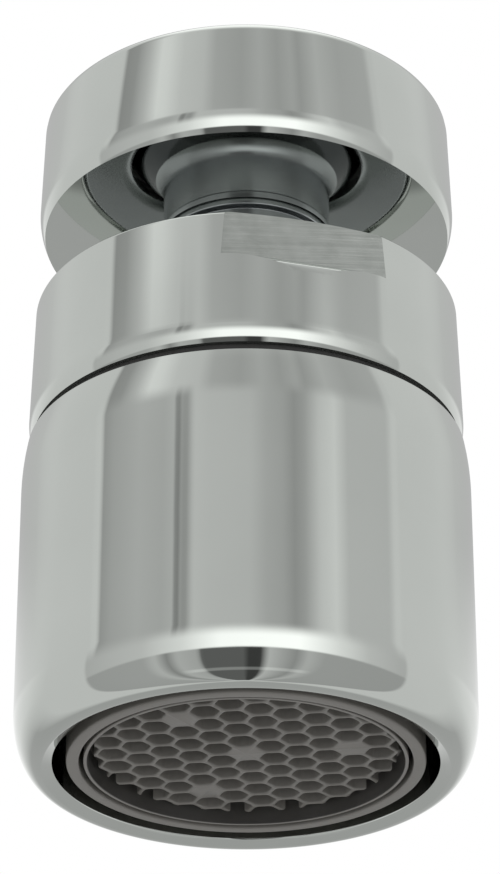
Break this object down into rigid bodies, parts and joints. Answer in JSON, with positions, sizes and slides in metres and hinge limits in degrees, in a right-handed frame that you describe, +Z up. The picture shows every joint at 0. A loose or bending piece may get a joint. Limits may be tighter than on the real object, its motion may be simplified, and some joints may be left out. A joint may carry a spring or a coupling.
{
  "type": "swivel tap aerator",
  "caption": "Chromed tap aerator with a round female connector nut, a ball joint in a collar with spanner flats, and a smooth outlet sleeve holding a grey honeycomb insert.",
  "frame": {"origin": "centre of the outlet rim, on the plane it stands on", "axes": "+Z up along the axis to the spout end, -Y to the side seen in the picture, +X to the right in it"},
  "size_m": [0.0264, 0.0262, 0.0425],
  "materials": {
    "chrome": "polished",
    "rubber": "matte",
    "seat_plastic": "satin",
    "insert_plastic": "satin",
    "screen_steel": "woven"
  },
  "bodies": {
    "spout_side": {"connector_nut": "chrome", "inlet_washer": "rubber", "ball_stem": "chrome", "stem_seal": "rubber"},
    "waist_seal": {"ball_o_ring": "rubber"},
    "ball_seats": {"upper_seat": "seat_plastic", "lower_seat": "seat_plastic", "seat_o_ring": "rubber"},
    "head": {"collar": "chrome", "housing": "chrome", "ball_retainer": "chrome", "collar_gasket": "rubber", "insert_washer": "rubber", "regulator_o_ring": "rubber", "insert_filter": "insert_plastic", "jet_plate": "insert_plastic", "insert_body": "insert_plastic", "honeycomb_outlet": "insert_plastic", "screen_upper": "screen_steel", "screen_lower": "screen_steel"}
  },
  "joints": [
    {"name": "tilt_direction", "type": "hinge", "parent": "spout_side", "child": "waist_seal", "pos_m": [0, 0, 0.02486], "axis": [0, 0, 1], "continuous": true},
    {"name": "tilt", "type": "hinge", "parent": "waist_seal", "child": "ball_seats", "pos_m": [0, 0, 0.02486], "axis": [1, 0, 0], "range_deg": [-20, 20]},
    {"name": "head_spin", "type": "hinge", "parent": "ball_seats", "child": "head", "pos_m": [0, 0, 0.02486], "axis": [0, 0, 1], "continuous": true}
  ]
}
